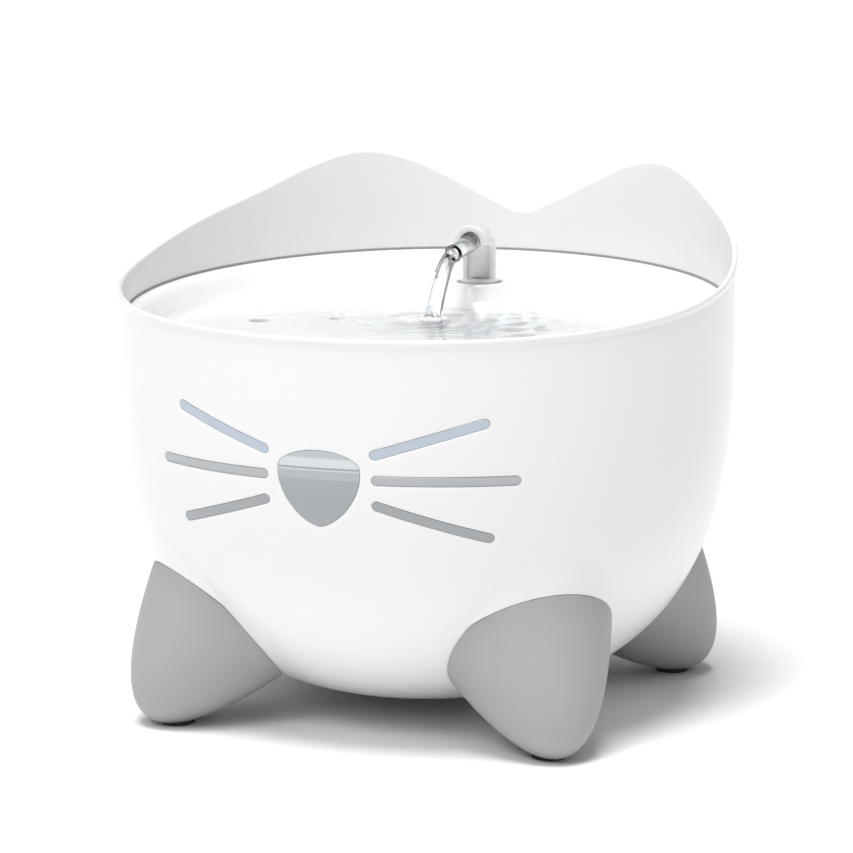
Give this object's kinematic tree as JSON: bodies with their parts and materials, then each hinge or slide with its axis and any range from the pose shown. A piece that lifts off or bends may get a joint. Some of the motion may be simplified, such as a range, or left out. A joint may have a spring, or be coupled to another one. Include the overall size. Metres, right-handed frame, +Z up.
{
  "type": "pet water fountain",
  "caption": "White cat water fountain with ear peaks, grey feet, clear nose and whisker windows, a drinking dish and a swivel spout, and a pump and filter inside.",
  "frame": {"origin": "on the floor, below the middle of the bowl", "axes": "+Z up, -Y towards the front with the face, +X to the right as seen from the front"},
  "size_m": [0.217, 0.217, 0.1822],
  "materials": {
    "bowl_white": "satin gloss",
    "foot_grey": "soft touch",
    "window_clear": "clear moulded plastic",
    "nozzle_clear": "clear moulded plastic",
    "hose_soft": "milky silicone",
    "housing_pale": "satin",
    "pump_black": "satin",
    "knob_grey": "satin",
    "impeller_white": "satin",
    "seal_rubber": "matt",
    "foam": "open-cell foam",
    "granules": "granules in mesh",
    "screw_steel": "plain",
    "magnet": "sintered",
    "core_steel": "stacked sheet",
    "copper": "enamelled copper wire",
    "ceramic": "polished ceramic"
  },
  "bodies": {
    "bowl": {"bowl_shell": "bowl_white", "window_gasket": "seal_rubber", "face_window": "window_clear", "foot_front_left": "foot_grey", "foot_front_right": "foot_grey", "foot_rear_left": "foot_grey", "foot_rear_right": "foot_grey", "foot_pads": "seal_rubber", "foot_screws": "screw_steel", "filter_base": "housing_pale", "filter_lid": "housing_pale", "cartridge_frame": "impeller_white", "granule_pad": "granules", "foam_pad": "foam", "suction_cups": "seal_rubber", "pump_housing": "pump_black", "intake_cover": "pump_black", "intake_screws": "screw_steel", "pump_shaft": "ceramic", "shaft_bushes": "seal_rubber", "stator_core": "core_steel", "stator_coil": "copper", "power_inlet": "pump_black", "inlet_nut": "knob_grey", "inlet_seal": "seal_rubber", "pump_lead": "pump_black"},
    "dish": {"drinking_dish": "bowl_white", "outlet_hose": "hose_soft"},
    "spout": {"spout_hood": "bowl_white", "nozzle_tube": "nozzle_clear", "spout_oring": "seal_rubber"},
    "rotor": {"impeller": "impeller_white", "rotor_magnet": "magnet"},
    "knob": {"flow_knob": "knob_grey"}
  },
  "joints": [
    {"name": "dish_lift", "type": "slide", "parent": "bowl", "child": "dish", "axis": [0, 0, 1], "range_m": [0, 0.08]},
    {"name": "spout_swivel", "type": "hinge", "parent": "dish", "child": "spout", "pos_m": [0, 0.0568, 0.14], "axis": [0, 0, 1], "range_deg": [-90, 90]},
    {"name": "impeller_spin", "type": "hinge", "parent": "bowl", "child": "rotor", "pos_m": [0, 0, 0.038], "axis": [0, 1, 0], "continuous": true},
    {"name": "flow_turn", "type": "hinge", "parent": "bowl", "child": "knob", "pos_m": [0, 0.043, 0.038], "axis": [0, 1, 0], "range_deg": [0, 60]}
  ]
}
